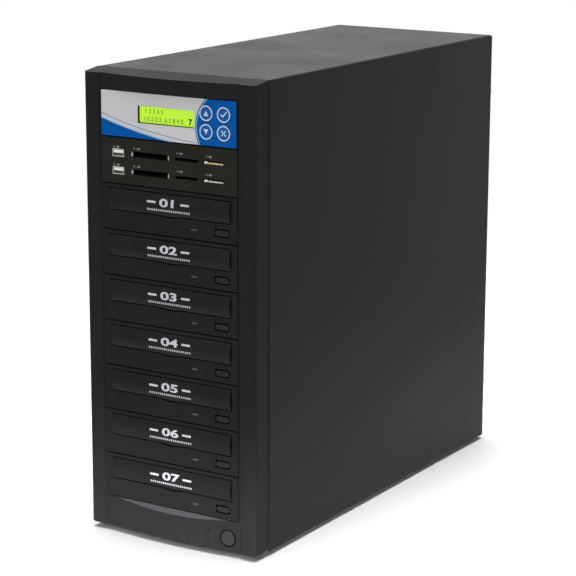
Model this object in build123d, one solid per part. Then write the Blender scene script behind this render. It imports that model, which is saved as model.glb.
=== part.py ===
from build123d import *
import os
from math import radians, sin

# A stand-alone tower that copies optical discs and memory cards: a steel case with a moulded front bezel
# round nine 5.25-inch bays, which hold a controller, a card reader and seven disc drives.
# Millimetres. X to the right seen from the front, Y to the back, Z up.
# The origin is at floor level, under the middle of the whole object.

# ---- case -----------------------------------------------------------------
CASE_WIDTH = 187.6
CASE_HEIGHT = 436.8
CASE_DEPTH = 457.0  # from the stiles of the bezel to the back of the cover
FOOT_HEIGHT = 4.5
SHEET = 1.0  # steel sheet
REAR_STEP = 3.0  # the cover is set in over this depth at its rear edge
STEP_IN = 0.8
SEAM_GAP = 0.6  # between the bezel and the cover
COVER_GAP = 0.5  # between the cover and the frame in it
COVER_BEND = 2.2  # outer radius of its top corners

# ---- front bezel ----------------------------------------------------------
BEZEL_DEPTH = 21.6
BEZEL_WALL = 2.5
BEZEL_HALF = 93.4
TOP_SLOPE = 2.8  # the bezel's top falls this far towards the front
CORNER_RADIUS = 2.8
BOTTOM_BEVEL = 1.5
BOW_HALF = 76.0  # half width of the bowed middle of the bezel
BOW_SETBACK = 1.5  # its sides lie this far behind the stiles
BOW_PROUD = 3.5  # its middle stands this far before the stiles
LEDGE_DROP = 4.4  # fall of the sloping ledge under the lowest bay
LEDGE_START = -0.1
TOP_RAIL = 17.1  # from the top of the case to the highest bay

# ---- bays -----------------------------------------------------------------
BAY_COUNT = 9
DRIVE_COUNT = 7
BAY_PITCH = 43.2
BAY_WIDTH = 149.0
PANEL_WIDTH = 148.0  # front panel of each unit
PANEL_HEIGHT = 42.0
PANEL_TOP_GAP = 0.6
UNIT_HALF = 73.0  # half width of a 5.25-inch unit behind its panel

# ---- disc drives ----------------------------------------------------------
DRIVE_SETBACK = 0.6
DRIVE_BODY_HEIGHT = 41.3
DRIVE_BODY_LENGTH = 170.0
DRIVE_PANEL_DEPTH = 9.0
DRIVE_PANEL_WALL = 2.4
DOOR_WIDTH = 133.0
DOOR_HEIGHT = 19.4
DOOR_TOP = 4.7  # below the top of the bay
DOOR_GAP = 0.9
DOOR_BULGE = 1.9
DOOR_THICKNESS = 2.6
DOOR_EDGE_SETBACK = 0.9
LIP_HALF = 12.0
LIP_DROP = 1.4
TRAY_LENGTH = 160.0
TRAY_WIDTH = 129.0
TRAY_THICKNESS = 7.0
DISC_CENTRE = 74.0  # behind the drive's face
DISC_RECESS_RADIUS = 60.5
DISC_RECESS_DEPTH = 2.6
DISC_RECESS_SIDES = 48
EJECT_X = 57.5
EJECT_WIDTH = 15.0
EJECT_HEIGHT = 6.4
EJECT_DROP = 33.8  # below the top of the bay
EJECT_GAP = 0.6
EJECT_CORNER = 2.0  # cut off its two right corners
LAMP_X = 27.0
LAMP_DROP = 34.0
RELEASE_X = 50.5
RELEASE_DROP = 27.6

# ---- controller -----------------------------------------------------------
OVERLAY_THICKNESS = 0.5
CONTROLLER_PROUD = 0.4
WINDOW_X = (-33.0, 29.0)
WINDOW_DROP = (12.5, 28.3)
KEY_RADIUS = 7.2
KEY_COLUMNS = (41.8, 60.5)
KEY_ROWS = (13.5, 30.0)
KEY_SIDES = 28  # the round key cap is drawn as a fine polygon

# ---- card reader ----------------------------------------------------------
READER_SETBACK = 0.3
READER_ROWS = (14.5, 30.9)  # slot centre lines, below the top of the bay
PORT_X, PORT_WIDTH, PORT_HEIGHT = -56.2, 13.4, 7.2
WIDE_CARD_X, WIDE_CARD_WIDTH, WIDE_CARD_HEIGHT = -20.5, 43.0, 5.4
SMALL_CARD_X, SMALL_CARD_WIDTH, SMALL_CARD_HEIGHT = 20.0, 25.0, 2.8
NARROW_CARD_X, NARROW_CARD_WIDTH, NARROW_CARD_HEIGHT = 49.0, 22.5, 3.8

# ---- power button, fans, supply -------------------------------------------
BUTTON_X = 63.0
BUTTON_Z = 18.2
BUTTON_RADIUS = 7.9
PANEL_LAMP_X = 42.0
PANEL_LAMP_ZS = (14.7, 22.7)
FAN_SIZE = 80.0
FAN_DEPTH = 25.0
FAN_BORE = 38.5
FAN_BORE_SIDES = 40
SLOT_PITCH = 8.2
BLADE_COUNT = 7
HUB_RADIUS = 17.5
BLADE_TIP = 36.8
BLADE_CHORD = 17.0
BLADE_CAMBER = 2.2
BLADE_THICKNESS = 1.2
BLADE_PITCH = 36.0
SUPPLY_WIDTH, SUPPLY_HEIGHT, SUPPLY_LENGTH = 150.0, 86.0, 140.0
SUPPLY_FAN_X = 30.0
SUPPLY_WALL = 1.2
INLET_X = -48.0
INLET_DROP = 17.0  # inlet below and switch above the supply's middle
INLET_BODY = (27.0, 20.0)
SWITCH_HOLE = (13.0, 20.0)
ROCKER_TILT = 8.0
EXHAUST_DROP = 190.0  # exhaust fan's centre, below the top of the case
SCREW_HEAD = 6.5

# ---- places worked out from the above -------------------------------------
TOTAL_DEPTH = BOW_PROUD + CASE_DEPTH + SCREW_HEAD
FACE_Y = BOW_PROUD - TOTAL_DEPTH / 2  # front of the stiles
SEAM_Y = FACE_Y + BEZEL_DEPTH
REAR_Y = FACE_Y + CASE_DEPTH
CASE_BOTTOM = FOOT_HEIGHT
CASE_TOP = CASE_BOTTOM + CASE_HEIGHT
FRAME_HALF = CASE_WIDTH / 2 - STEP_IN - SHEET - COVER_GAP
FRAME_TOP = CASE_TOP - STEP_IN - SHEET - COVER_GAP
BEZEL_BOTTOM = CASE_BOTTOM + 0.6
OPENING_TOP = CASE_TOP - TOP_RAIL
OPENING_BOTTOM = OPENING_TOP - BAY_COUNT * BAY_PITCH
DRIVE_Y = FACE_Y + DRIVE_SETBACK
READER_Y = FACE_Y + READER_SETBACK
OVERLAY_Y = FACE_Y - CONTROLLER_PROUD
PLATE_Y = REAR_Y - SHEET  # rear face of the rear panel
SUPPLY_Y = PLATE_Y - SHEET
SUPPLY_Z = CASE_TOP - 12 - SUPPLY_HEIGHT / 2
EXHAUST_Z = CASE_TOP - EXHAUST_DROP
DISC_Y = DRIVE_Y + DISC_CENTRE
DRIVE_BODY_Y = DRIVE_Y + DRIVE_PANEL_DEPTH
SCREW_ZS = (CASE_BOTTOM + 60, CASE_TOP - 60)
SCREW_X = CASE_WIDTH / 2 - 7.5
CLIP_ZS = (60.0, 225.0, 395.0)
CLIP_X = 85.5


def bay_top(bay):
    """Height of the top of a bay, counted from 0 at the top of the tower."""
    return OPENING_TOP - bay * BAY_PITCH


def drive_bay(number):
    """Bay of drive 1 to 7: the controller and the card reader fill the two highest."""
    return BAY_COUNT - DRIVE_COUNT + number - 1


def slab(x, y, z):
    """Box between three (low, high) pairs."""
    middle = [(low + high) / 2 for low, high in (x, y, z)]
    size = [high - low for low, high in (x, y, z)]
    return Pos(*middle) * Box(*size)


def rod(radius, y, x=0.0, z=0.0):
    """Cylinder along Y."""
    return Pos(x, (y[0] + y[1]) / 2, z) * Rot(90, 0, 0) * Cylinder(radius, y[1] - y[0])


def facing_front(y, x=0.0, z=0.0):
    """Plane that looks to the front, with its own x along X and its own y along Z."""
    return Plane((x, y, z), x_dir=(1, 0, 0), z_dir=(0, -1, 0))


def plate_outline(sketch, y, x=0.0, z=0.0):
    """Sketch seen from the front, extruded between two depths."""
    return extrude(facing_front(y[1], x, z) * sketch, amount=y[1] - y[0])


def across(points, x):
    """Side profile of (y, z) points, extruded between two x places."""
    side = Plane((x[0], 0, 0), x_dir=(0, 1, 0), z_dir=(1, 0, 0))
    return extrude(side * Polygon(*points, align=None), amount=x[1] - x[0])


def mirrored(part):
    return part + part.mirror(Plane.YZ)


# ---- front bezel ----------------------------------------------------------
def bow_y(x):
    """Depth of the bowed face at x, on the circle through its sides and its middle."""
    bow = BOW_SETBACK + BOW_PROUD
    radius = (BOW_HALF**2 + bow**2) / (2 * bow)
    return FACE_Y - BOW_PROUD + radius - (radius**2 - x**2) ** 0.5


def bezel_plan(inset):
    """Plan of the bezel's front: flat stiles, bevelled steps and a bowed middle, moved in by inset."""
    half = BEZEL_HALF - inset
    face = FACE_Y + inset
    side = BOW_HALF
    step = (side, face + BOW_SETBACK)
    edge = (side + BOW_SETBACK, face)
    left = Polyline((-half, SEAM_Y), (-half, face), (-edge[0], edge[1]), (-step[0], step[1]))
    bow = ThreePointArc((-step[0], step[1]), (0, face - BOW_PROUD), step)
    right = Polyline(step, edge, (half, face), (half, SEAM_Y))
    plan = make_face(left + bow + right + Line((half, SEAM_Y), (-half, SEAM_Y)))
    corners = plan.vertices().filter_by(lambda v: abs(abs(v.X) - half) < 0.01 and v.Y < SEAM_Y - 1)
    return fillet(corners, CORNER_RADIUS - inset * 0.8)


def bezel_profile(inset):
    """Side profile of the bezel over its full width: the top falls towards the front."""
    front = FACE_Y - BOW_PROUD - 1
    slope = TOP_SLOPE / BEZEL_DEPTH
    bottom, top = BEZEL_BOTTOM + inset, CASE_TOP - inset
    points = [(front, bottom), (SEAM_Y, bottom), (SEAM_Y, top), (front, top - slope * (SEAM_Y - front))]
    return across(points, (-BEZEL_HALF, BEZEL_HALF))


def bezel_block(inset):
    plan = extrude(Pos(0, 0, BEZEL_BOTTOM) * bezel_plan(inset), amount=CASE_TOP - BEZEL_BOTTOM)
    return plan & bezel_profile(inset)


def bezel_clip(z):
    """Springy hook behind a stile, which snaps through the steel front plate."""
    y0, y1 = FACE_Y + BEZEL_WALL - 0.5, SEAM_Y + SHEET
    hook = Polygon(
        (CLIP_X, y0), (CLIP_X + 2, y0), (CLIP_X + 2, y1 + 0.4), (CLIP_X + 3.4, y1 + 0.4),
        (CLIP_X + 1.4, y1 + 5), (CLIP_X, y1 + 5), align=None,
    )
    return extrude(Pos(0, 0, z - 4) * hook, amount=8)


def front_bezel():
    block = bezel_block(0)
    bottom_edges = block.edges().group_by(Axis.Z)[0].filter_by(lambda edge: edge.center().Y < SEAM_Y - 1)
    block = chamfer(bottom_edges, BOTTOM_BEVEL)
    opening = slab((-BAY_WIDTH / 2, BAY_WIDTH / 2), (FACE_Y - 9, SEAM_Y + 1), (OPENING_BOTTOM, OPENING_TOP))
    lining_z = (OPENING_BOTTOM - 2, OPENING_TOP + 2)
    lining = slab((-BAY_WIDTH / 2 - 2, BAY_WIDTH / 2 + 2), (FACE_Y - 9, SEAM_Y), lining_z)
    ledge_back = slab((-70, 70), (FACE_Y - 9, FACE_Y + 4), (OPENING_BOTTOM - 8, OPENING_BOTTOM))
    tube_y = (FACE_Y - 9, FACE_Y + 15)
    button_tube = rod(BUTTON_RADIUS + 2.8, tube_y, BUTTON_X, BUTTON_Z)
    bezel = block - bezel_block(BEZEL_WALL) + (block & (lining + ledge_back + button_tube))
    for z in range(60, 420, 72):
        bezel += mirrored(slab((76, 92), (FACE_Y + 1.8, SEAM_Y - 6), (z - 0.8, z + 0.8)))
    for z in CLIP_ZS:
        bezel += mirrored(bezel_clip(z))
    bezel -= opening
    front = FACE_Y - BOW_PROUD
    fall = LEDGE_DROP / (LEDGE_START + BOW_PROUD)
    ledge = [
        (FACE_Y + LEDGE_START, OPENING_BOTTOM),
        (FACE_Y + LEDGE_START, OPENING_BOTTOM + 1),
        (front - 1, OPENING_BOTTOM + 1),
        (front - 1, OPENING_BOTTOM - LEDGE_DROP - fall),
    ]
    bezel -= across(ledge, (-BOW_HALF, BOW_HALF))
    bezel -= rod(BUTTON_RADIUS + 0.6, (FACE_Y - 9, SEAM_Y + 1), BUTTON_X, BUTTON_Z)
    for z in PANEL_LAMP_ZS:
        bezel -= rod(1.5, (FACE_Y - 9, FACE_Y + 6), PANEL_LAMP_X, z)
    return bezel


# ---- steel frame ----------------------------------------------------------
def chassis_frame():
    half, top, back = FRAME_HALF, FRAME_TOP, PLATE_Y - SHEET
    base = slab((-half, half), (SEAM_Y, back), (CASE_BOTTOM, CASE_BOTTOM + SHEET))
    front = slab((-half, half), (SEAM_Y, SEAM_Y + SHEET), (CASE_BOTTOM, top))
    front -= slab((-74.5, 74.5), (SEAM_Y - 1, SEAM_Y + 2), (OPENING_BOTTOM - 1, OPENING_TOP + 1))
    front -= rod(6.5, (SEAM_Y - 1, SEAM_Y + 2), BUTTON_X, BUTTON_Z)
    for z in CLIP_ZS:
        front -= mirrored(slab((CLIP_X - 0.5, CLIP_X + 2.5), (SEAM_Y - 1, SEAM_Y + 2), (z - 4.5, z + 4.5)))
    flange = slab((half - SHEET, half), (SEAM_Y, back), (CASE_BOTTOM, CASE_BOTTOM + 13))
    return_edge = slab((half - SHEET, half), (SEAM_Y, SEAM_Y + 14), (CASE_BOTTOM, top))
    rail = slab((half - 14, half), (SEAM_Y, back), (top - SHEET, top))
    rail_lip = slab((half - 14, half - 13), (SEAM_Y, back), (top - 8, top))
    return base + front + mirrored(flange + return_edge + rail + rail_lip)


def drive_cage():
    """Two upright walls that the bay units are screwed between, each with a front and a foot flange."""
    inner, outer = UNIT_HALF, UNIT_HALF + SHEET
    y0, y1 = SEAM_Y + SHEET, SEAM_Y + 165
    wall = slab((inner, outer), (y0, y1), (CASE_BOTTOM + SHEET, OPENING_TOP + 3))
    for bay in range(BAY_COUNT):
        z = bay_top(bay) - BAY_PITCH / 2
        wall -= slab((inner - 1, outer + 1), (y0 + 52, y0 + 112), (z - 14, z + 14))
    front_flange = slab((inner, 81), (y0, y0 + SHEET), (CASE_BOTTOM + SHEET, OPENING_TOP + 3))
    foot_flange = slab((inner, 86), (y0, y1), (CASE_BOTTOM + SHEET, CASE_BOTTOM + 2 * SHEET))
    return mirrored(wall + front_flange + foot_flange)


def fan_slots():
    """Half length and height of each slot of a vent that fills the fan's circle."""
    rises = [SLOT_PITCH * (n - 4) for n in range(9)]
    return [((FAN_BORE**2 - rise**2) ** 0.5 - 1.5, rise) for rise in rises]


def rear_panel():
    half, top = FRAME_HALF, FRAME_TOP
    y = (PLATE_Y - SHEET, PLATE_Y)
    panel = slab((-half, half), y, (CASE_BOTTOM, top))
    window = Rectangle(SUPPLY_WIDTH - 12, SUPPLY_HEIGHT - 12)
    cut = (y[0] - 1, y[1] + 1)
    panel -= plate_outline(window, cut, 0, SUPPLY_Z)
    for half_length, rise in fan_slots():
        panel -= slab((-half_length, half_length), cut, (EXHAUST_Z + rise - 2.6, EXHAUST_Z + rise + 2.6))
    for row in range(8):
        z = CASE_BOTTOM + 40 + row * 11
        for x in (-36, 36):
            panel -= slab((x - 27, x + 27), cut, (z - 1.8, z + 1.8))
    for z in SCREW_ZS:
        panel -= mirrored(rod(2.0, cut, SCREW_X, z))
    side = slab((half - SHEET, half), (y[0] - 12, y[1]), (CASE_BOTTOM + 14, top - 10))
    shelf_z = SUPPLY_Z - SUPPLY_HEIGHT / 2
    shelf = slab((-60, 60), (y[0] - 45, y[1]), (shelf_z - SHEET, shelf_z))
    return panel + mirrored(side) + shelf


def cover_outline(inset):
    """Cover seen from the front, with bent top corners, moved in by inset."""
    width, height = CASE_WIDTH - 2 * inset, CASE_HEIGHT - inset
    outline = Rectangle(width, height, align=(Align.CENTER, Align.MIN))
    return fillet(outline.vertices().group_by(Axis.Y)[-1], COVER_BEND - inset)


def cover():
    """Sheet wrapped over both sides and the top, stepped in at the back round a flange for the screws."""
    step_y = REAR_Y - REAR_STEP
    shell = plate_outline(cover_outline(0), (SEAM_Y + SEAM_GAP, step_y), 0, CASE_BOTTOM)
    shell += plate_outline(cover_outline(STEP_IN), (step_y, REAR_Y), 0, CASE_BOTTOM)
    shell -= plate_outline(cover_outline(SHEET), (SEAM_Y - 1, step_y - SHEET), 0, CASE_BOTTOM)
    shell -= plate_outline(cover_outline(STEP_IN + SHEET), (step_y - SHEET, REAR_Y - SHEET), 0, CASE_BOTTOM)
    opening_half = CASE_WIDTH / 2 - STEP_IN - 13
    shell -= slab((-opening_half, opening_half), (step_y, REAR_Y + 5), (0, CASE_TOP - STEP_IN - 11))
    for z in SCREW_ZS:
        shell -= mirrored(rod(2.0, (step_y, REAR_Y + 5), SCREW_X, z))
    return shell


def feet():
    foot = extrude(RegularPolygon(9.0, 24), amount=FOOT_HEIGHT)
    return [Pos(x, y, 0) * foot for x in (-70, 70) for y in (SEAM_Y + 24, REAR_Y - 46)]


def thumb_screws():
    screws = []
    for z in SCREW_ZS:
        for x in (-SCREW_X, SCREW_X):
            head = plate_outline(RegularPolygon(5.0, 16), (REAR_Y, REAR_Y + SCREW_HEAD), x, z)
            shank = plate_outline(RegularPolygon(1.9, 8), (REAR_Y - 9, REAR_Y + 1), x, z)
            screws.append(head + shank)
    return screws


# ---- fans and power supply ------------------------------------------------
def fan_places():
    """Middle and back face of the fan in the power supply and of the one on the rear panel."""
    return {"supply": (SUPPLY_FAN_X, SUPPLY_Z, SUPPLY_Y - SUPPLY_WALL), "exhaust": (0, EXHAUST_Z, SUPPLY_Y)}


def fan_rotor(x, z, fan_back):
    """Axial fan wheel: a cup hub and cambered blades set at a pitch round it."""
    back = fan_back - 3.0
    middle = back - 9.0
    front = ThreePointArc((-BLADE_CHORD / 2, 0), (0, BLADE_CAMBER + BLADE_THICKNESS), (BLADE_CHORD / 2, 0))
    rear = ThreePointArc((BLADE_CHORD / 2, 0), (0, BLADE_CAMBER), (-BLADE_CHORD / 2, 0))
    section = Rot(0, 0, BLADE_PITCH) * make_face(front + rear)
    root = Plane((0, middle, HUB_RADIUS - 2), x_dir=(1, 0, 0), z_dir=(0, 0, 1))
    blade = extrude(root * section, amount=BLADE_TIP - HUB_RADIUS + 2)
    wheel = rod(HUB_RADIUS, (back - 19, back))
    for n in range(BLADE_COUNT):
        wheel += Rot(0, 360 / BLADE_COUNT * n, 0) * blade
    return Pos(x, 0, z) * wheel


def fan_frame(x, z, back):
    """Square fan housing with a round duct and a motor seat on three struts."""
    y = (back - FAN_DEPTH, back)
    frame = plate_outline(chamfer(Rectangle(FAN_SIZE, FAN_SIZE).vertices(), 3), y, 0, 0)
    frame -= plate_outline(RegularPolygon(FAN_BORE, FAN_BORE_SIDES), (y[0] - 1, y[1] + 1))
    strut = slab((0, FAN_BORE + 0.8), (y[0], y[0] + 2.4), (-2.5, 2.5))
    seat = rod(HUB_RADIUS, (y[0], y[0] + 2.4))
    for third in range(3):
        seat += Rot(0, 90 + 120 * third, 0) * strut
    return Pos(x, 0, z) * (frame + seat)


def power_supply_case():
    """Folded steel box, slotted before its fan and cut out for the mains inlet and the switch."""
    y = (SUPPLY_Y - SUPPLY_LENGTH, SUPPLY_Y)
    half_x, half_z, wall = SUPPLY_WIDTH / 2, SUPPLY_HEIGHT / 2, SUPPLY_WALL
    case = slab((-half_x, half_x), y, (-half_z, half_z))
    case -= slab((wall - half_x, half_x - wall), (y[0] + wall, y[1] - wall), (wall - half_z, half_z - wall))
    for half_length, rise in fan_slots():
        x = (SUPPLY_FAN_X - half_length, SUPPLY_FAN_X + half_length)
        case -= slab(x, (y[1] - 2, y[1] + 1), (rise - 2.6, rise + 2.6))
    case -= plate_outline(Rectangle(*INLET_BODY), (y[1] - 2, y[1] + 1), INLET_X, -INLET_DROP)
    case -= plate_outline(Rectangle(*SWITCH_HOLE), (y[1] - 2, y[1] + 1), INLET_X, INLET_DROP)
    return Pos(0, 0, SUPPLY_Z) * case


def supply_board():
    """Converter board on its posts, with two heat sinks, a transformer and capacitors."""
    y = (SUPPLY_Y - SUPPLY_LENGTH + 6, SUPPLY_Y - 30)
    floor = SUPPLY_Z - SUPPLY_HEIGHT / 2 + SUPPLY_WALL
    board = slab((-68, 68), y, (floor + 5, floor + 6.6))
    for x in (-62, 62):
        for post_y in (y[0] + 6, y[1] - 6):
            board += slab((x - 3, x + 3), (post_y - 3, post_y + 3), (floor, floor + 5))
    for x in (-30, 30):
        board += slab((x - 3, x + 3), (y[0] + 8, y[1] - 8), (floor + 6, floor + 58))
    board += slab((-18, 18), (y[0] + 30, y[0] + 64), (floor + 6, floor + 38))
    return board + slab((40, 62), (y[0] + 12, y[0] + 60), (floor + 6, floor + 34))


def power_inlet():
    """Mains inlet: flanged insulating body with a chamfered socket and three blades."""
    z = SUPPLY_Z - INLET_DROP
    y = SUPPLY_Y
    body = plate_outline(Rectangle(*INLET_BODY), (y - 22, y), INLET_X, z)
    flange = plate_outline(RectangleRounded(30.5, 23.5, 2), (y, y + 1.6), INLET_X, z)
    socket = chamfer(Rectangle(24, 16.6).vertices().group_by(Axis.Y)[-1], 3.6)
    inlet = body + flange - plate_outline(socket, (y - 15, y + 3), INLET_X, z)
    for x, rise in ((-7, -0.6), (0, 3.4), (7, -0.6)):
        blade = slab((x - 1, x + 1), (y - 16, y - 3), (rise - 2.0, rise + 2.0))
        inlet += Pos(INLET_X, 0, z) * blade
    return inlet


def power_rocker():
    """Rocker of the mains switch, with a two-sided face on a round back, resting tilted to one side."""
    angle = radians(ROCKER_TILT)
    reach = 8.9
    rise = reach * sin(angle)
    face = Polyline((-reach, 3.4 + rise), (0, 3.4), (reach, 3.4 + rise), (reach, 0))
    back = ThreePointArc((reach, 0), (0, -7.5), (-reach, 0))
    profile = make_face(face + back + Line((-reach, 0), (-reach, 3.4 + rise)))
    side = Plane((INLET_X - 6, SUPPLY_Y - 1.2, SUPPLY_Z + INLET_DROP), x_dir=(0, 0, 1), z_dir=(1, 0, 0))
    body = extrude(side * profile.mirror(Plane.XZ), amount=12)
    pivot = (INLET_X, SUPPLY_Y - 1.2, SUPPLY_Z + INLET_DROP)
    return body.rotate(Axis(pivot, (1, 0, 0)), -ROCKER_TILT)


# ---- controller -----------------------------------------------------------
def key_places():
    return [(x, bay_top(0) - drop) for x in KEY_COLUMNS for drop in KEY_ROWS]


def window_centre():
    return (sum(WINDOW_X) / 2, bay_top(0) - sum(WINDOW_DROP) / 2)


def window_size():
    return (WINDOW_X[1] - WINDOW_X[0], WINDOW_DROP[1] - WINDOW_DROP[0])


def bay_panel(y, bay, wall, depth):
    """Moulded front panel of a bay unit: a plate with a rim, and an arm down each side to screw it by."""
    z = bay_top(bay) - PANEL_TOP_GAP - PANEL_HEIGHT / 2
    panel = plate_outline(Rectangle(PANEL_WIDTH, PANEL_HEIGHT), (y, y + depth), 0, z)
    inner = Rectangle(PANEL_WIDTH - 4, PANEL_HEIGHT - 4)
    panel -= plate_outline(inner, (y + wall, y + depth + 1), 0, z)
    return panel, z


def arms(y, z):
    return mirrored(slab((UNIT_HALF - 1.5, UNIT_HALF), (y, y + 80), (z - 15, z + 15)))


def controller_bezel():
    y = OVERLAY_Y + OVERLAY_THICKNESS
    panel, z = bay_panel(y, 0, 2.4, 12)
    panel += arms(y + 2, z)
    wx, wz = window_centre()
    panel -= plate_outline(Rectangle(*window_size()), (y - 1, y + 4), wx, wz)
    for x, kz in key_places():
        panel -= rod(KEY_RADIUS + 0.3, (y - 1, y + 4), x, kz)
    return panel


def controller_overlay():
    """Printed film on the controller's face, open at the window and round the keys."""
    z = bay_top(0) - PANEL_TOP_GAP - PANEL_HEIGHT / 2
    y = (OVERLAY_Y, OVERLAY_Y + OVERLAY_THICKNESS)
    film = plate_outline(Rectangle(PANEL_WIDTH - 0.6, PANEL_HEIGHT - 0.6), y, 0, z)
    wx, wz = window_centre()
    film -= plate_outline(Rectangle(*window_size()), (y[0] - 1, y[1] + 1), wx, wz)
    for x, kz in key_places():
        film -= rod(KEY_RADIUS + 0.3, (y[0] - 1, y[1] + 1), x, kz)
    return film


def controller_key(x, z):
    """Round cap with two ears that hold it behind the panel."""
    front = OVERLAY_Y - 0.3
    ears = slab((x - KEY_RADIUS - 1.4, x + KEY_RADIUS + 1.4), (front + 4, front + 5), (z - 2, z + 2))
    return plate_outline(RegularPolygon(KEY_RADIUS, KEY_SIDES), (front, front + 5), x, z) + ears


def display_module():
    """Character display: a glass face in a metal frame, on its own small board."""
    wx, wz = window_centre()
    width, height = window_size()
    y = OVERLAY_Y + OVERLAY_THICKNESS + 2.4
    frame = plate_outline(Rectangle(width + 7, height + 7), (y, y + 6.5), wx, wz)
    board = plate_outline(Rectangle(width + 7.6, 33), (y + 6.5, y + 8.1), wx, wz)
    return frame + board


def circuit_boards():
    """Controller board with four key switches and the reader's board under its sockets."""
    y = OVERLAY_Y + 11.9
    z = bay_top(0) - PANEL_TOP_GAP - PANEL_HEIGHT / 2
    width = UNIT_HALF - 1.5
    control = slab((-width, width), (y, y + 1.6), (z - 17, z + 17))
    for x, kz in key_places():
        control += slab((x - 3, x + 3), (OVERLAY_Y + 5.6, y + 0.5), (kz - 3, kz + 3))
    for x, high in ((-45, 9), (-10, 6), (35, 12)):
        control += slab((x - 14, x + 14), (y + 1.6, y + 1.6 + high), (z - 10, z + 10))
    low = bay_top(1) - READER_ROWS[1] - 7.5
    reader = slab((-width, width), (READER_Y + 4, READER_Y + 84), (low, low + 1.6))
    return [control, reader]


# ---- card reader ----------------------------------------------------------
def reader_slots():
    """Every slot as (x, width, height, z), two rows of four."""
    slots = []
    for drop in READER_ROWS:
        z = bay_top(1) - drop
        slots.append((PORT_X, PORT_WIDTH, PORT_HEIGHT, z))
        slots.append((WIDE_CARD_X, WIDE_CARD_WIDTH, WIDE_CARD_HEIGHT, z))
        slots.append((SMALL_CARD_X, SMALL_CARD_WIDTH, SMALL_CARD_HEIGHT, z))
        slots.append((NARROW_CARD_X, NARROW_CARD_WIDTH, NARROW_CARD_HEIGHT, z))
    return slots


def reader_lamps():
    """Places of the small lamp above each slot."""
    offsets = (-4.5, -17.5, -10.0, -7.5)
    return [(x + offsets[n % 4], z + 5.4) for n, (x, _, _, z) in enumerate(reader_slots())]


def reader_bezel():
    panel, z = bay_panel(READER_Y, 1, 2.4, 10)
    panel += arms(READER_Y + 2, z)
    for x, width, height, slot_z in reader_slots():
        panel -= plate_outline(Rectangle(width, height), (READER_Y - 1, READER_Y + 4), x, slot_z)
    for x, lamp_z in reader_lamps():
        panel -= plate_outline(Rectangle(1.4, 1.4), (READER_Y - 1, READER_Y + 4), x, lamp_z)
    return panel


def socket(x, width, height, z, wall, depth):
    """Open-fronted socket whose mouth lines up with a slot of the panel."""
    y0 = READER_Y + 2.4
    outer = plate_outline(Rectangle(width + 2 * wall, height + 2 * wall), (y0, y0 + depth), x, z)
    return outer - plate_outline(Rectangle(width, height), (y0 - 1, y0 + depth - 2), x, z)


def port_shells():
    """Two sheet-metal plug ports, each with a tongue."""
    ports = []
    for x, width, height, z in reader_slots()[0::4]:
        y0 = READER_Y + 0.4
        shell = plate_outline(Rectangle(width - 0.3, height - 0.3), (y0, y0 + 16), x, z)
        shell -= plate_outline(Rectangle(width - 1.3, height - 1.3), (y0 - 1, y0 + 14), x, z)
        tongue = slab((x - 5.4, x + 5.4), (y0 + 0.3, y0 + 15), (z - 0.1, z + 2.5))
        ports.append(shell + tongue)
    return ports


def card_sockets():
    sockets = []
    for index, (x, width, height, z) in enumerate(reader_slots()):
        if index % 4:
            depth = (0, 34, 26, 26)[index % 4]
            sockets.append(socket(x, width, height, z, 1.0, depth))
    return sockets


# ---- disc drives ----------------------------------------------------------
def door_outline(grow):
    """Door seen from the front: a rectangle with a shallow crescent for a finger below its middle."""
    half, low, high = DOOR_WIDTH / 2 + grow, -DOOR_HEIGHT / 2 - grow, DOOR_HEIGHT / 2 + grow
    rim = Polyline((-LIP_HALF, low), (-half, low), (-half, high), (half, high), (half, low), (LIP_HALF, low))
    return make_face(rim + ThreePointArc((LIP_HALF, low), (0, low - LIP_DROP), (-LIP_HALF, low)))


def door_z(bay):
    return bay_top(bay) - DOOR_TOP - DOOR_HEIGHT / 2


def eject_outline(grow):
    """Button seen from the front: square on the left, with its right corners cut off."""
    outline = Rectangle(EJECT_WIDTH + 2 * grow, EJECT_HEIGHT + 2 * grow)
    return chamfer(outline.vertices().group_by(Axis.X)[-1], EJECT_CORNER)


def drive_bezel(bay):
    panel, z = bay_panel(DRIVE_Y, bay, DRIVE_PANEL_WALL, DRIVE_PANEL_DEPTH)
    cut = (DRIVE_Y - 1, DRIVE_Y + DRIVE_PANEL_WALL + 1)
    panel -= plate_outline(door_outline(DOOR_GAP), cut, 0, door_z(bay))
    top = bay_top(bay)
    panel -= plate_outline(eject_outline(EJECT_GAP), cut, EJECT_X, top - EJECT_DROP)
    panel -= plate_outline(Rectangle(6.0, 1.8), cut, LAMP_X, top - LAMP_DROP)
    panel -= plate_outline(RegularPolygon(0.7, 6), cut, RELEASE_X, top - RELEASE_DROP)
    return panel


def drive_door(bay):
    """Tray door, bulging forward between top and bottom edges that lie just behind the panel's face."""
    z = door_z(bay)
    back_y = DRIVE_Y + DOOR_THICKNESS
    body = plate_outline(door_outline(0), (DRIVE_Y - 5, back_y), 0, z)
    reach = DOOR_HEIGHT / 2 + LIP_DROP + 0.1
    edge_y = DRIVE_Y + DOOR_EDGE_SETBACK
    front = ThreePointArc((edge_y, z - reach), (DRIVE_Y - DOOR_BULGE, z), (edge_y, z + reach))
    back = Polyline((edge_y, z + reach), (back_y + 1, z + reach), (back_y + 1, z - reach), (edge_y, z - reach))
    side = Plane((-DOOR_WIDTH, 0, 0), x_dir=(0, 1, 0), z_dir=(1, 0, 0))
    return body & extrude(side * make_face(front + back), amount=2 * DOOR_WIDTH)


def tray_z(bay):
    """Bottom and top of the tray."""
    middle = door_z(bay) - 1.0
    return (middle - TRAY_THICKNESS / 2, middle + TRAY_THICKNESS / 2)


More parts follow.
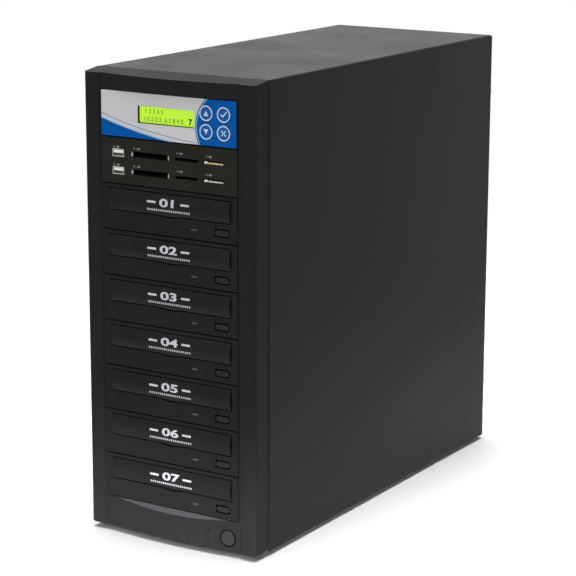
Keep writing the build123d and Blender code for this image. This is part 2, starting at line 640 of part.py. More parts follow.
def drive_tray(bay):
    """Disc tray: a round recess for the disc, and a slot over the spindle and the lens."""
    z = tray_z(bay)
    y = (DRIVE_Y + DOOR_THICKNESS, DRIVE_Y + DOOR_THICKNESS + TRAY_LENGTH)
    tray = slab((-TRAY_WIDTH / 2, TRAY_WIDTH / 2), y, z)
    disc = extrude(RegularPolygon(DISC_RECESS_RADIUS, DISC_RECESS_SIDES), amount=TRAY_THICKNESS)
    tray -= Pos(0, DISC_Y, z[1] - DISC_RECESS_DEPTH) * disc
    tray -= slab((-19, 19), (DISC_Y - 19, DISC_Y + 56), (z[0] - 1, z[1] + 1))
    return tray - slab((-TRAY_WIDTH / 2 + 8, TRAY_WIDTH / 2 - 8), (y[1] - 20, y[1] - 6), (z[0] + 2, z[1] + 1))


def drive_button(bay):
    z = bay_top(bay) - EJECT_DROP
    front = DRIVE_Y - 0.6
    stem = plate_outline(eject_outline(0), (front, DRIVE_Y + 6.5), EJECT_X, z)
    collar_y = DRIVE_Y + DRIVE_PANEL_WALL + 0.1
    return stem + plate_outline(Rectangle(EJECT_WIDTH + 2.4, EJECT_HEIGHT + 1.6), (collar_y, collar_y + 1), EJECT_X, z)


def drive_case(bay):
    """Closed steel case behind the drive's panel, open at the front."""
    z = bay_top(bay) - PANEL_TOP_GAP - PANEL_HEIGHT / 2
    half = DRIVE_BODY_HEIGHT / 2
    y = (DRIVE_BODY_Y, DRIVE_BODY_Y + DRIVE_BODY_LENGTH)
    case = slab((-UNIT_HALF, UNIT_HALF), y, (z - half, z + half))
    hollow = slab((-UNIT_HALF + 1, UNIT_HALF - 1), (y[0] - 1, y[1] - 1), (z - half + 1, z + half - 1))
    return case - hollow


def deck_z(bay):
    """Floor of the drive's case and top of the deck's plate."""
    floor = bay_top(bay) - PANEL_TOP_GAP - PANEL_HEIGHT / 2 - DRIVE_BODY_HEIGHT / 2 + 1
    return floor, floor + 6


def drive_deck(bay):
    """Plastic deck: side walls, ledges that the tray runs on, and a plate with a slot for the sled."""
    floor, plate = deck_z(bay)
    tray_low, tray_high = tray_z(bay)
    y = (DRIVE_BODY_Y + 3, DRIVE_BODY_Y + DRIVE_BODY_LENGTH - 1)
    inner = TRAY_WIDTH / 2 + 0.4
    wall = slab((inner, UNIT_HALF - 1), y, (floor, tray_high + 2.0))
    ledge = slab((inner - 5, inner + 1), y, (tray_low - 2.4, tray_low - 0.4))
    hood = slab((inner - 2, inner + 1), y, (tray_high + 0.4, tray_high + 2.0))
    deck = mirrored(wall + ledge + hood) + slab((-inner, inner), y, (plate - 2, plate))
    return deck - slab((-19, 19), (DISC_Y + 6, DISC_Y + 58), (plate - 3, plate + 1))


def drive_spindle(bay):
    """Spindle motor on its plate, with the turntable just under the tray."""
    plate = deck_z(bay)[1]
    top = tray_z(bay)[0] - 0.8
    base = slab((-14, 14), (DISC_Y - 14, DISC_Y + 14), (plate, plate + 3))
    return base + Pos(0, DISC_Y, plate) * extrude(RegularPolygon(9, 16), amount=top - plate)


def drive_sled(bay):
    """Laser sled in the slot of the deck, with its lens actuator on top."""
    plate = deck_z(bay)[1]
    body = slab((-18.5, 18.5), (DISC_Y + 20, DISC_Y + 46), (plate - 2, plate + 5))
    return body + slab((-6, 6), (DISC_Y + 26, DISC_Y + 38), (plate + 5, plate + 8))


# ---- lamps, power button --------------------------------------------------
def lamp_lenses():
    lenses = [rod(1.5, (bow_y(PANEL_LAMP_X) + 0.3, FACE_Y + 6), PANEL_LAMP_X, z) for z in PANEL_LAMP_ZS]
    for x, z in reader_lamps():
        lenses.append(plate_outline(Rectangle(1.4, 1.4), (READER_Y + 0.2, READER_Y + 4), x, z))
    for number in range(1, DRIVE_COUNT + 1):
        z = bay_top(drive_bay(number)) - LAMP_DROP
        lenses.append(slab((LAMP_X - 3, LAMP_X + 3), (DRIVE_Y + 0.1, DRIVE_Y + 5), (z - 0.9, z + 0.9)))
    return lenses


def power_button():
    """Round cap with a bevelled rim, on a square stem."""
    front = bow_y(BUTTON_X) - 0.6
    cap = rod(BUTTON_RADIUS, (front, FACE_Y + 10), BUTTON_X, BUTTON_Z)
    cap = chamfer(cap.edges().group_by(Axis.Y)[0], 0.7)
    z = (BUTTON_Z - 3, BUTTON_Z + 3)
    return cap + slab((BUTTON_X - 3, BUTTON_X + 3), (FACE_Y + 9, SEAM_Y + 1), z)


def power_switch():
    """Push switch behind the button, on a bracket from the front plate."""
    y = SEAM_Y + SHEET
    body = slab((BUTTON_X - 8, BUTTON_X + 8), (y + 4.0, y + 14), (BUTTON_Z - 6, BUTTON_Z + 6))
    ears = slab((BUTTON_X - 10.5, BUTTON_X - 8), (y, y + 14), (BUTTON_Z - 6, BUTTON_Z + 6))
    ears += slab((BUTTON_X + 8, BUTTON_X + 9.5), (y, y + 14), (BUTTON_Z - 6, BUTTON_Z + 6))
    return body + ears


# ---- writing --------------------------------------------------------------
def subparts():
    parts = {
        "front_bezel": front_bezel(),
        "chassis_frame": chassis_frame(),
        "drive_cage": drive_cage(),
        "rear_panel": rear_panel(),
        "cover": cover(),
        "feet": feet(),
        "thumb_screws": thumb_screws(),
        "power_supply_case": power_supply_case(),
        "power_inlet": power_inlet(),
        "power_rocker": power_rocker(),
        "supply_board": supply_board(),
        "fan_frames": [fan_frame(*place) for place in fan_places().values()],
        "controller_bezel": controller_bezel(),
        "controller_overlay": controller_overlay(),
        "display_module": display_module(),
        "circuit_boards": circuit_boards(),
        "reader_bezel": reader_bezel(),
        "port_shells": port_shells(),
        "card_sockets": card_sockets(),
        "lamp_lenses": lamp_lenses(),
        "power_button": power_button(),
        "power_switch": power_switch(),
    }
    for name, place in fan_places().items():
        parts[name + "_fan_rotor"] = fan_rotor(*place)
    for name, place in zip(("up", "down", "confirm", "cancel"), key_places()):
        parts["key_" + name] = controller_key(*place)
    bays = [drive_bay(number) for number in range(1, DRIVE_COUNT + 1)]
    for number, bay in enumerate(bays, start=1):
        parts[f"drive_{number}_bezel"] = drive_bezel(bay)
        parts[f"drive_{number}_tray"] = drive_tray(bay)
        parts[f"drive_{number}_door"] = drive_door(bay)
        parts[f"drive_{number}_button"] = drive_button(bay)
    parts["drive_cases"] = [drive_case(bay) for bay in bays]
    parts["drive_decks"] = [drive_deck(bay) for bay in bays]
    parts["drive_spindles"] = [drive_spindle(bay) for bay in bays]
    parts["drive_sleds"] = [drive_sled(bay) for bay in bays]
    return parts


os.makedirs("parts", exist_ok=True)
for node, shape in subparts().items():
    whole = Compound(children=shape) if isinstance(shape, list) else shape
    export_step(whole, f"parts/{node}.step")
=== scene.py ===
import math

import bmesh
import bpy
import numpy as np
from mathutils import Matrix, Vector


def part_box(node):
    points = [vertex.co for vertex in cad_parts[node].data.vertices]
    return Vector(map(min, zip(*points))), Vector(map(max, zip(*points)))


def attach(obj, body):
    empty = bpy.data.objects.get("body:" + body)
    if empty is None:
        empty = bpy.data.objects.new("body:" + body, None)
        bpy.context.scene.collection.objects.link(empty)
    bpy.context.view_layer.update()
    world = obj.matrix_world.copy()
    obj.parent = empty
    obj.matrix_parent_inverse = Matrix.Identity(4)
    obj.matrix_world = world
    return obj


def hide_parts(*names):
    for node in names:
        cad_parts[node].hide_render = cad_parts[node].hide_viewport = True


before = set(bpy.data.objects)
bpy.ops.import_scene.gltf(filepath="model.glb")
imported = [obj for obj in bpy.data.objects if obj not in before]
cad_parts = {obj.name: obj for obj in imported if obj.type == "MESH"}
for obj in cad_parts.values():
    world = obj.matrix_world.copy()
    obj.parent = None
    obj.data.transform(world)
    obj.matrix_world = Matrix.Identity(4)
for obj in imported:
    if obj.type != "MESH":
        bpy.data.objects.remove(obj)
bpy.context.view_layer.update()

bl_info = {
    "name": "Disc and Card Copier Tower",
    "version": (1, 0, 0),
    "blender": (4, 5, 0),
    "location": "View3D > Sidebar > Tower",
    "description": "Dresses the frame of a nine-bay disc copier tower: finishes, prints and small fittings",
    "category": "Object",
}

MM = 0.001
DRIVES = range(1, 8)
KEYS = ("up", "down", "confirm", "cancel")
INK = 0.03 * MM  # how far a print lies before the face that carries it
WELD = 0.002 * MM  # points closer than this become one
BAY_MARGIN = 0.6  # mm between a panel and the edge of its bay, above and below


# ---- meshes ---------------------------------------------------------------
def link_mesh(name, vertices, faces, material, body, closed=False):
    """Object in the row frame that rides on a body; a closed form gets merged doubles and outward normals."""
    mesh = bpy.data.meshes.new(name)
    mesh.from_pydata(vertices.tolist(), [], faces.tolist())
    if closed:
        work = bmesh.new()
        work.from_mesh(mesh)
        bmesh.ops.remove_doubles(work, verts=work.verts, dist=WELD)
        bmesh.ops.recalc_face_normals(work, faces=work.faces)
        work.to_mesh(mesh)
        work.free()
    mesh.materials.append(material)
    piece = bpy.data.objects.new(name, mesh)
    bpy.context.scene.collection.objects.link(piece)
    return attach(piece, body)


def grid_faces(rows, columns):
    """Quads of a grid whose last column joins its first; an anticlockwise outline faces the front."""
    index = np.arange(rows * columns).reshape(rows, columns)
    index = np.hstack([index, index[:, :1]])
    quads = np.stack([index[:-1, :-1], index[:-1, 1:], index[1:, 1:], index[1:, :-1]], axis=-1)
    return quads.reshape(-1, 4)


def superellipse(half_x, half_z, squareness=2.0, count=40):
    """Outline x = a |cos t|^(2/n), z = b |sin t|^(2/n), signed: n = 2 is round, 8 nearly a rectangle."""
    t = np.arange(count) * 2 * math.pi / count
    power = 2 / squareness
    x = half_x * np.sign(np.cos(t)) * np.abs(np.cos(t)) ** power
    z = half_z * np.sign(np.sin(t)) * np.abs(np.sin(t)) ** power
    return np.stack([x, z], axis=-1)


def fluted(radius, flutes, depth):
    """Round outline whose radius dips by depth between flutes: r = R - d |sin(n t / 2)|."""
    t = np.arange(flutes * 4) * 2 * math.pi / (flutes * 4)
    r = radius - depth * np.abs(np.sin(flutes * t / 2))
    return np.stack([r * np.cos(t), r * np.sin(t)], axis=-1)


def triangle(half_x, half_z, per_side=4):
    """Outline that runs straight between three corners, the first at the top."""
    corners = np.array([(0, half_z), (-half_x, -half_z), (half_x, -half_z)])
    along = np.linspace(0, 1, per_side, endpoint=False)[:, None]
    return np.vstack([a + (b - a) * along for a, b in zip(corners, np.roll(corners, -1, axis=0))])


def stacked(outline, place, stages):
    """Points of an outline swept along Y: stage (s, d) holds the outline times s at the depth place.y + d."""
    scales, depths = np.array(stages, float).T
    x = place[0] + scales[:, None] * outline[None, :, 0]
    z = place[2] + scales[:, None] * outline[None, :, 1]
    y = np.broadcast_to(place[1] + depths[:, None], x.shape)
    return np.stack([x, y, z], axis=-1) * MM


def form(name, outline, places, stages, material, body="tower", closed=True, depth_at=None):
    """Like outlines in mm, swept through their stages, as one piece; a print lies on y = depth_at(z)."""
    blocks = [stacked(outline, place, stages) for place in places]
    if depth_at:
        for block in blocks:
            block[..., 1] = depth_at(block[..., 2] / MM) * MM
    rows, columns = blocks[0].shape[:2]
    quads = grid_faces(rows, columns)
    faces = np.vstack([quads + n * rows * columns for n in range(len(blocks))])
    return link_mesh(name, np.concatenate(blocks).reshape(-1, 3), faces, material, body, closed)


def ribbon(name, path, width, face_y, material, body):
    """Flat stroke of an even width: each point of the (x, z) path moves to both sides along its normal."""
    path = np.array(path, float)
    run = np.gradient(path, axis=0)
    run /= np.linalg.norm(run, axis=1, keepdims=True)
    normal = np.stack([-run[:, 1], run[:, 0]], axis=-1) * width / 2
    both = np.stack([path + normal, path - normal])
    y = np.full(both.shape[:2], face_y)
    points = np.stack([both[..., 0], y, both[..., 1]], axis=-1).reshape(-1, 3) * MM
    count = len(path)
    index = np.arange(count - 1)
    faces = np.stack([index, index + count, index + count + 1, index + 1], axis=-1)
    return link_mesh(name, points, faces, material, body)


def numerals(name, text, height, x, z, depth_at, material, body, weight=0.0, stretch=1.0):
    """Printed numerals of a given height in mm, laid on a face with y = depth_at(z).

    Level cuts let them follow a curved face. A weight thickens the strokes, and a stretch widens the whole.
    """
    curve = bpy.data.curves.new(name, "FONT")
    curve.body = text
    curve.align_x = "CENTER"
    curve.offset = weight
    flat = bpy.data.objects.new(name, curve)
    bpy.context.scene.collection.objects.link(flat)
    mesh = bpy.data.meshes.new_from_object(flat.evaluated_get(bpy.context.evaluated_depsgraph_get()))
    bpy.data.objects.remove(flat)
    work = bmesh.new()
    work.from_mesh(mesh)
    low, high = (f(v.co.y for v in work.verts) for f in (min, max))
    strips = 8
    for level in np.linspace(low, high, strips + 1)[1:-1]:
        cut = list(work.verts) + list(work.edges) + list(work.faces)
        bmesh.ops.bisect_plane(work, geom=cut, plane_co=(0, level, 0), plane_no=(0, 1, 0))
    work.to_mesh(mesh)
    work.free()
    points = np.zeros(len(mesh.vertices) * 3)
    mesh.vertices.foreach_get("co", points)
    points = points.reshape(-1, 3) * height / (high - low)
    up = points[:, 1] - (low + high) / 2 * height / (high - low) + z
    placed = np.stack([points[:, 0] * stretch + x, depth_at(up), up], axis=-1) * MM
    mesh.vertices.foreach_set("co", placed.ravel())
    mesh.materials.append(material)
    piece = bpy.data.objects.new(name, mesh)
    bpy.context.scene.collection.objects.link(piece)
    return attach(piece, body)


def node_box(node):
    """Lowest and highest corner of a frame node in mm."""
    low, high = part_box(node)
    return np.array(low) / MM, np.array(high) / MM


def dress(material, *nodes):
    """Gives frame nodes a finish."""
    for node in nodes:
        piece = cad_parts[node]
        piece.data.materials.clear()
        piece.data.materials.append(material)


# ---- materials ------------------------------------------------------------
def linear(colour):
    """Linear colour of an sRGB hex value."""
    channels = [int(colour[i:i + 2], 16) / 255 for i in (1, 3, 5)]
    return [c / 12.92 if c <= 0.04045 else ((c + 0.055) / 1.055) ** 2.4 for c in channels] + [1.0]


def rgba(colour):
    """Opaque linear colour of an sRGB hex value, or of a colour setting, which is linear already."""
    return linear(colour) if isinstance(colour, str) else [*colour, 1.0]


def dimmed(colour, share):
    """Opaque colour at a share of its strength."""
    return [c * share for c in colour[:3]] + [1.0]


def add(tree, kind, inputs=None, **settings):
    """Adds a node with its settings; an input is a value, or a socket to link from."""
    node = tree.nodes.new(kind)
    for name, value in settings.items():
        setattr(node, name, value)
    for key, value in (inputs or {}).items():
        if isinstance(value, bpy.types.NodeSocket):
            tree.links.new(value, node.inputs[key])
        else:
            node.inputs[key].default_value = value
    return node


def start(name, **sockets):
    """New material, its tree, its shader with the given sockets set, and the object coordinates."""
    material = bpy.data.materials.new(name)
    material.use_nodes = True
    tree = material.node_tree
    tree.nodes.clear()
    shader = add(tree, "ShaderNodeBsdfPrincipled", {key.replace("_", " "): v for key, v in sockets.items()})
    add(tree, "ShaderNodeOutputMaterial", {"Surface": shader.outputs[0]})
    place = add(tree, "ShaderNodeTexCoord").outputs["Object"]
    return material, tree, shader, place


def speckle(tree, place, grain, detail=2.0):
    """Noise whose grains are as wide as a real size in mm."""
    inputs = {"Vector": place, "Scale": 1 / (grain * MM), "Detail": detail, "Roughness": 0.5}
    return add(tree, "ShaderNodeTexNoise", inputs).outputs["Fac"]


def shade(tree, factor, dark, light):
    """Colour that runs from dark to light with a factor."""
    mix = add(tree, "ShaderNodeMix", {0: factor, 6: rgba(dark), 7: rgba(light)}, data_type="RGBA")
    return mix.outputs[2]


def span(tree, factor, low, high):
    """Factor laid between two numbers, stretched because noise stays near its middle."""
    inputs = {"Value": factor, "From Min": 0.3, "From Max": 0.7, "To Min": low, "To Max": high}
    return add(tree, "ShaderNodeMapRange", inputs).outputs[0]


def relief(tree, shader, height, depth, strength=1.0):
    """Bump of a real depth in mm on a shader."""
    bump = add(tree, "ShaderNodeBump", {"Height": height, "Distance": depth * MM, "Strength": strength})
    tree.links.new(bump.outputs[0], shader.inputs["Normal"])


def grained(name, dark, light, roughness, grain, depth, gloss):
    """Surface with a fine grain, its width and depth in mm; a slow noise varies its colour and its sheen."""
    material, tree, shader, place = start(name, Specular_IOR_Level=gloss)
    patch, unevenness = 60.0, 0.05
    fine = speckle(tree, place, grain)
    slow = speckle(tree, place, patch, 4.0)
    tone = add(tree, "ShaderNodeMix", {0: 0.5, 2: fine, 3: slow}, data_type="FLOAT").outputs[0]
    tree.links.new(shade(tree, span(tree, tone, 0.0, 1.0), dark, light), shader.inputs["Base Color"])
    rough = span(tree, slow, roughness - unevenness, roughness + unevenness)
    tree.links.new(rough, shader.inputs["Roughness"])
    relief(tree, shader, fine, depth)
    return material


def metal(name, dark, light, roughness, grain):
    """Bare or plated metal: spangle or rolling marks, as wide as the grain in mm, vary colour and sheen."""
    material, tree, shader, place = start(name, Metallic=1.0)
    unevenness, depth, strength = 0.08, 0.01, 0.4
    marks = speckle(tree, place, grain, 3.0)
    tree.links.new(shade(tree, span(tree, marks, 0.0, 1.0), dark, light), shader.inputs["Base Color"])
    rough = span(tree, marks, roughness - unevenness, roughness + unevenness)
    tree.links.new(rough, shader.inputs["Roughness"])
    relief(tree, shader, marks, depth, strength)
    return material


def powder_coat(finishes):
    # Powder coat on rolled steel: a fine baked pebble breaks up every highlight, and the coat pales edge on.
    material = grained("powder_coated_steel", finishes.coat_dark, finishes.coat_light, 0.36, 1.2, 0.03, 0.04)
    shader = material.node_tree.nodes["Principled BSDF"]
    sheen = {"Sheen Weight": 0.6, "Sheen Roughness": 0.25, "Sheen Tint": linear("#fff4ea")}
    for socket, value in sheen.items():
        shader.inputs[socket].default_value = value
    return material


def bezel_abs():
    # Injection-moulded ABS from a spark-eroded mould: an even matt grain with hardly a highlight.
    return grained("moulded_abs_bezel", "#222224", "#28282a", 0.42, 0.9, 0.025, 0.03)


def drive_abs():
    # Drive panels come from another mould and another batch: a finer grain and a slightly cooler black.
    return grained("moulded_abs_drive_panel", "#1e1e20", "#242426", 0.44, 0.7, 0.02, 0.04)


def door_abs():
    # Polished mould face: smoother than the panel round it, so the bulged door picks up a soft gleam.
    return grained("satin_abs_door", "#19191b", "#1f1f21", 0.3, 1.4, 0.006, 0.08)


def reader_abs():
    # ABS with a trace of brown beside the cool black of the drives.
    return grained("moulded_abs_reader_panel", "#272622", "#2d2c28", 0.48, 0.8, 0.02, 0.03)


def tray_polystyrene():
    # High-impact polystyrene, slightly greasy sheen over a flat dark grey.
    return grained("polystyrene_tray", "#212123", "#28282a", 0.38, 1.0, 0.01, 0.4)


def button_abs():
    # Small satin moulding, a little smoother than the panel, so that its crown shows.
    return grained("satin_abs_button", "#1e1e20", "#242426", 0.3, 0.6, 0.008, 0.12)


def cap_abs():
    # The power button's cap is polished, so its dish holds a soft pale gleam.
    return grained("polished_abs_cap", "#202022", "#262628", 0.28, 1.2, 0.004, 0.3)


def ledge_highlight_abs():
    # Satin ABS of the sloping ledge, painted paler than the flat front round it: a painted highlight for the
    # light that falls on the ledge from above.
    return grained("ledge_painted_highlight_abs", "#343537", "#3d3d40", 0.4, 0.9, 0.02, 0.4)


def socket_pbt():
    # Glass-filled PBT: dull black with a dry, slightly streaked skin.
    return grained("glass_filled_pbt", "#0b0b0c", "#111112", 0.6, 0.9, 0.02, 0.25)


def foot_rubber():
    # Moulded rubber foot: dark, dry and almost without a highlight.
    return grained("moulded_rubber", "#0c0c0c", "#131313", 0.85, 0.8, 0.03, 0.2)


def nylon():
    # Nylon mains fitting: black with a waxy sheen.
    return grained("moulded_nylon", "#0e0e0f", "#141415", 0.4, 0.8, 0.01, 0.4)


def zinc_steel():
    # Hot-dip galvanised sheet: broad pale spangles under a dull grey skin.
    return metal("galvanised_steel_sheet", "#8e9092", "#a4a6a8", 0.4, 7.0)


def nickel_steel():
    # Nickel-plated screw steel: bright and slightly yellow.
    return metal("nickel_plated_steel", "#aaa79d", "#c9c6bc", 0.24, 1.5)


def tin_steel():
    # Tin-plated shell of a port: pale and soft.
    return metal("tin_plated_steel", "#c7c7c4", "#e4e4e1", 0.3, 1.5)


def gold_flash():
    # Contact blades with a thin gold flash.
    return metal("gold_flashed_bronze", "#c9b88a", "#efe3c2", 0.3, 0.8)


def motor_steel():
    # Turned and pressed motor parts: a neutral mid grey.
    return metal("pressed_motor_steel", "#7d7e80", "#a2a3a5", 0.35, 2.5)


def lamp_acrylic():
    # Diffusing acrylic light pipes, unlit: smoked low on the front, grey on the drives, clear over the slots.
    material, tree, shader, place = start("diffusing_acrylic", Roughness=0.3)
    height = add(tree, "ShaderNodeSeparateXYZ", {0: place}).outputs[2]
    bands = add(tree, "ShaderNodeValToRGB", {"Fac": height})
    bands.color_ramp.interpolation = "CONSTANT"
    # Each band starts at a height in metres: the lower panel, the drives, the card reader.
    for start_height, colour in ((0.0, "#161618"), (0.03, "#3c3d40"), (0.345, "#9b9ca0")):
        band = bands.color_ramp.elements.new(start_height)
        band.color = linear(colour)
    haze, depth = 0.5, 0.004
    tree.links.new(bands.outputs["Color"], shader.inputs["Base Color"])
    relief(tree, shader, speckle(tree, place, haze), depth)
    return material


def print_ink(name, colour, sheen=0.5):
    """Screen-printed or pad-printed ink: a thin even film with a faint mottle from the mesh."""
    material, tree, shader, place = start(name, Roughness=sheen, Specular_IOR_Level=0.2)
    thread, thinnest, full = 0.5, 0.86, rgba(colour)
    mottle = span(tree, speckle(tree, place, thread), 0.0, 1.0)
    mix = add(tree, "ShaderNodeMix", {0: mottle, 6: dimmed(full, thinnest), 7: full}, data_type="RGBA")
    tree.links.new(mix.outputs[2], shader.inputs["Base Color"])
    return material


def circuit_board():
    # Glass-epoxy board under green solder mask, mottled where copper lies beneath.
    material, tree, shader, place = start("green_solder_mask", Roughness=0.35)
    pad, depth = 6.0, 0.03
    inputs = {"Vector": place, "Scale": 1 / (pad * MM)}
    copper = add(tree, "ShaderNodeTexVoronoi", inputs, distance="CHEBYCHEV")
    tree.links.new(shade(tree, copper.outputs["Distance"], "#0f3d22", "#1f6a3c"), shader.inputs["Base Color"])
    relief(tree, shader, copper.outputs["Distance"], depth)
    return material


def display_glass(finishes):
    # Lit character display: yellow-green light behind glass, with the faint grid of its character cells.
    colour, cell = rgba(finishes.display_lime), 3.4
    dim = dimmed(colour, 0.93)
    material, tree, shader, place = start("lit_character_display", Roughness=0.15, Emission_Strength=0.66)
    cells = add(tree, "ShaderNodeSeparateXYZ", {0: place})
    flat = add(tree, "ShaderNodeCombineXYZ", {0: cells.outputs[0], 1: cells.outputs[2]})
    inputs = {
        "Vector": flat.outputs[0], "Scale": 1 / (cell * MM), "Mortar Size": 0.06, "Brick Width": 1.0,
        "Row Height": 1.9, "Color1": dim, "Color2": dim, "Mortar": colour,
    }
    grid = add(tree, "ShaderNodeTexBrick", inputs, offset=0.0)
    tree.links.new(grid.outputs["Color"], shader.inputs["Base Color"])
    tree.links.new(grid.outputs["Color"], shader.inputs["Emission Color"])
    return material


def arc_mask(tree, flat, centre, radius, blur=0.12):
    """1 inside a circle of the front, given in mm, and 0 outside, with a soft edge."""
    middle = (centre[0] * MM, 0.0, centre[1] * MM)
    away = add(tree, "ShaderNodeVectorMath", {0: flat, 1: middle}, operation="DISTANCE").outputs["Value"]
    inputs = {"Value": away, "From Min": (radius + blur) * MM, "From Max": (radius - blur) * MM}
    return add(tree, "ShaderNodeMapRange", inputs).outputs[0]


def film(finishes, prints):
    # Polyester film printed on its back: silver with a fine fleck, an even blue, and pale lines between.
    material, tree, shader, place = start("printed_polyester_film", Roughness=0.4, Specular_IOR_Level=0.06)
    low, high = node_box("controller_overlay")
    split = add(tree, "ShaderNodeSeparateXYZ", {0: place})
    flat = add(tree, "ShaderNodeCombineXYZ", {0: split.outputs[0], 2: split.outputs[2]}).outputs[0]
    fleck, ripple, depth = 0.6, 2.5, 0.01
    silver = shade(tree, span(tree, speckle(tree, place, fleck), 0.0, 1.0), "#d0d0d3", "#e0e0e2")
    blue, pale = rgba(finishes.film_blue), rgba("#a9cbe8")
    field = (prints.key_field_x + prints.key_field_radius, high[2] - prints.key_field_drop)
    wedge = (prints.wedge_x, high[2] + prints.wedge_rise)
    ink = silver
    for step, colour in ((-3.4, blue), (-2.9, silver), (0.0, pale), (1.2, blue)):
        inside = arc_mask(tree, flat, wedge, prints.wedge_radius + step)
        outside = add(tree, "ShaderNodeMath", {0: 1.0, 1: inside}, operation="SUBTRACT").outputs[0]
        ink = add(tree, "ShaderNodeMix", {0: outside, 6: ink, 7: colour}, data_type="RGBA").outputs[2]
    for inset, colour in ((0.0, blue), (1.0, pale), (1.7, blue)):
        inside = arc_mask(tree, flat, field, prints.key_field_radius - inset)
        ink = add(tree, "ShaderNodeMix", {0: inside, 6: ink, 7: colour}, data_type="RGBA").outputs[2]
    tree.links.new(ink, shader.inputs["Base Color"])
    relief(tree, shader, speckle(tree, place, ripple), depth, 0.4)
    return material


# ---- settings -------------------------------------------------------------
def colour_setting(name, description, colour):
    """Setting that holds the linear colour of an sRGB hex value."""
    return bpy.props.FloatVectorProperty(
        name=name, description=description, subtype="COLOR", size=3, min=0, max=1, default=linear(colour)[:3],
    )


def size_setting(name, description, size):
    """Setting that holds a size in millimetres."""
    return bpy.props.FloatProperty(name=name, description=description, default=size)


def angle_setting(name, description, degrees):
    """Setting that holds an angle, given in degrees."""
    return bpy.props.FloatProperty(
        name=name, description=description, subtype="ANGLE", default=math.radians(degrees),
    )


def power_setting(name, description, watts):
    """Setting that holds the power of a lamp."""
    return bpy.props.FloatProperty(name=name, description=description, subtype="POWER", default=watts)


class TowerFinishes(bpy.types.PropertyGroup):
    """Colours that a user may change."""
    film_blue: colour_setting("Film blue", "Printed blue of the controller's film", "#035aaa")
    key_mark: colour_setting("Key marks", "Rings and signs on the keys", "#cfe2f4")
    display_lime: colour_setting("Display", "Light of the character display", "#a9da20")
    door_print: colour_setting("Door numerals", "Numerals printed on the drive doors", "#d0d2d6")
    coat_dark: colour_setting("Coat, dark", "Darker grain of the cover", "#18181a")
    coat_light: colour_setting("Coat, light", "Paler grain of the cover", "#1f1f21")


class TowerPrints(bpy.types.PropertyGroup):
    """Sizes of prints and small fittings, in millimetres."""
    numeral_height: size_setting("Numeral height", "Height of the door numerals", 7.6)
    key_field_x: size_setting("Key field edge", "Left edge of the blue field round the keys", 30.0)
    key_field_radius: size_setting("Key field radius", "Radius of that edge", 36.0)
    key_field_drop: size_setting("Key field drop", "Its centre below the top of the film", 26.0)
    wedge_x: size_setting("Wedge centre", "Centre of the long arc over the blue wedge", 58.8)
    wedge_rise: size_setting("Wedge rise", "Its centre above the top of the film", 413.0)
    wedge_radius: size_setting("Wedge radius", "Radius of that arc", 457.0)
    ring_radius: size_setting("Key ring", "Radius of the ring on a key", 7.0)
    ring_width: size_setting("Key ring width", "Width of that ring", 1.2)
    screw_flutes: bpy.props.IntProperty(
        name="Screw flutes", description="Flutes round the head of a thumb screw", default=24,
    )


class TowerStage(bpy.types.PropertyGroup):
    """Camera and light; the camera stands where the photograph was taken from."""
    camera_place: bpy.props.FloatVectorProperty(
        name="Camera", description="Place of the camera", subtype="XYZ", unit="LENGTH",
        default=(1.06759, -1.73174, 0.67926),
    )
    azimuth: angle_setting("Azimuth", "Turn of the view from the front", 32.048)
    dip: angle_setting("Dip", "Fall of the view below level", 13.216)
    roll: angle_setting("Roll", "Roll of the view about its own axis", 0.182)
    lens: bpy.props.FloatProperty(name="Lens", description="Focal length in millimetres", default=129.64)
    overhead: power_setting("Overhead lamp", "Power of the softbox above", 34.0)
    fill: power_setting("Front fill", "Power of the softbox before the front", 16.0)
    low: power_setting("Low lamp", "Power of the lamp near the floor", 2.2)
    ambient: bpy.props.FloatProperty(name="Ambient", description="Light from all round", default=0.12)


